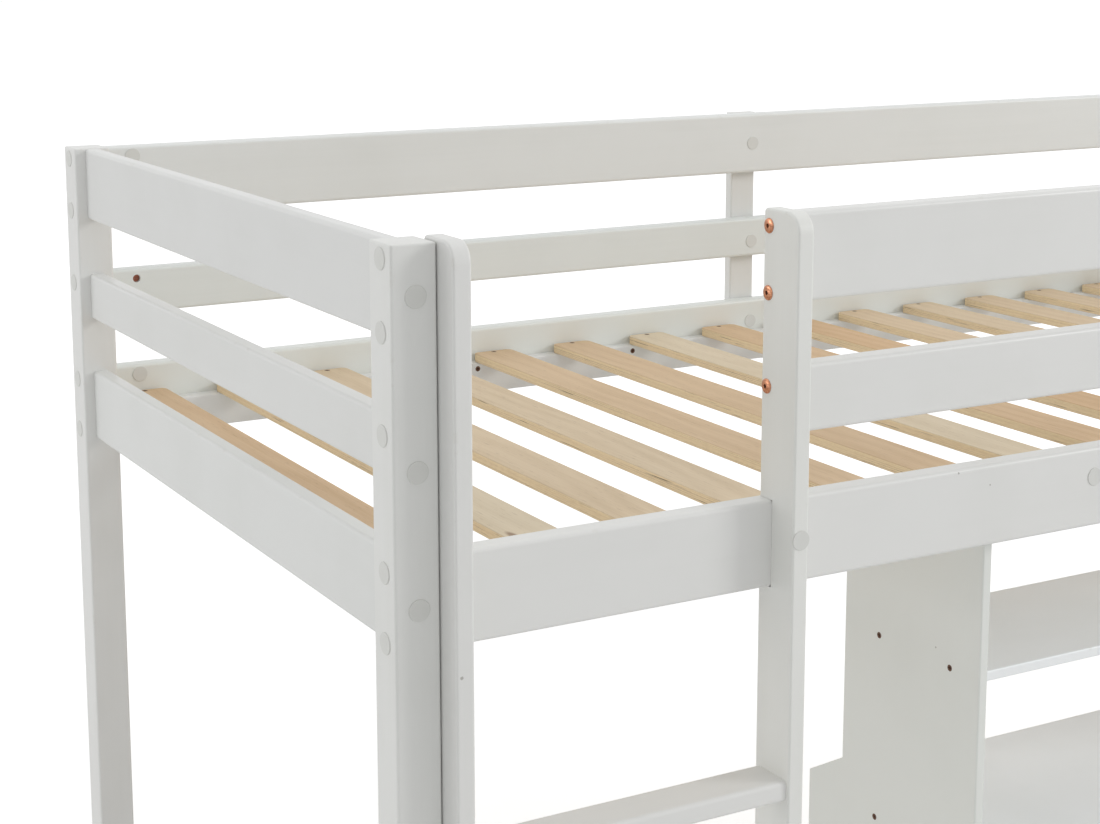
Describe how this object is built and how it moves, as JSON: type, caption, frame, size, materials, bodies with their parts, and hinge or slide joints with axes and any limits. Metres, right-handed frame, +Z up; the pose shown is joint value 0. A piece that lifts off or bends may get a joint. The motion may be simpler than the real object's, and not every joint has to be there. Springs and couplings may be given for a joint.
{
  "type": "loft bed",
  "caption": "Mid-height loft bed in painted wood with a straight ladder, guard rails, plywood slats and a low open bookcase under the bed.",
  "frame": {"origin": "on the floor, under the middle of the bed's bounding box", "axes": "+X along the bed, away from the ladder; -Y is the front with the ladder; +Z up"},
  "size_m": [2.092, 1.021, 1.05],
  "materials": {
    "white_paint": "satin white paint",
    "plywood": "bare sanded plywood",
    "white_plastic": "matt white plastic",
    "copper_plated_bolt": "copper plated, satin",
    "zinc_plated_steel": "zinc plated, satin",
    "dowel_wood": "bare turned wood"
  },
  "bodies": {
    "root": {"back_centre_post": "white_paint", "back_rail_middle": "white_paint", "back_rail_top": "white_paint", "barrel_nuts": "zinc_plated_steel", "bed_rail_back": "white_paint", "bed_rail_front": "white_paint", "bookcase_bottom_shelf": "white_paint", "bookcase_lower_shelf": "white_paint", "bookcase_screws": "zinc_plated_steel", "bookcase_side_left": "white_paint", "bookcase_side_right": "white_paint", "bookcase_top": "white_paint", "bookcase_upper_shelf": "white_paint", "centre_post_bolts": "zinc_plated_steel", "corner_post_back_left": "white_paint", "corner_post_back_right": "white_paint", "corner_post_front_left": "white_paint", "corner_post_front_right": "white_paint", "dowels": "dowel_wood", "end_rail_low_left": "white_paint", "end_rail_low_right": "white_paint", "end_rail_middle_left": "white_paint", "end_rail_middle_right": "white_paint", "end_rail_top_left": "white_paint", "end_rail_top_right": "white_paint", "guard_bolts": "copper_plated_bolt", "guard_post": "white_paint", "guard_post_bolt": "zinc_plated_steel", "guard_rail_low": "white_paint", "guard_rail_top": "white_paint", "ladder_rung_1": "white_paint", "ladder_rung_2": "white_paint", "ladder_stile": "white_paint", "ledge_screws": "zinc_plated_steel", "post_bolts": "zinc_plated_steel", "post_caps": "white_plastic", "rail_caps": "white_plastic", "rung_screws": "zinc_plated_steel", "slat_01": "plywood", "slat_02": "plywood", "slat_03": "plywood", "slat_04": "plywood", "slat_05": "plywood", "slat_06": "plywood", "slat_07": "plywood", "slat_08": "plywood", "slat_09": "plywood", "slat_10": "plywood", "slat_11": "plywood", "slat_12": "plywood", "slat_13": "plywood", "slat_14": "plywood", "slat_15": "plywood", "slat_16": "plywood", "slat_ledge_back": "white_paint", "slat_ledge_front": "white_paint", "slat_screws": "zinc_plated_steel", "sleeve_nuts": "zinc_plated_steel", "stile_bolts": "zinc_plated_steel"}
  },
  "joints": []
}
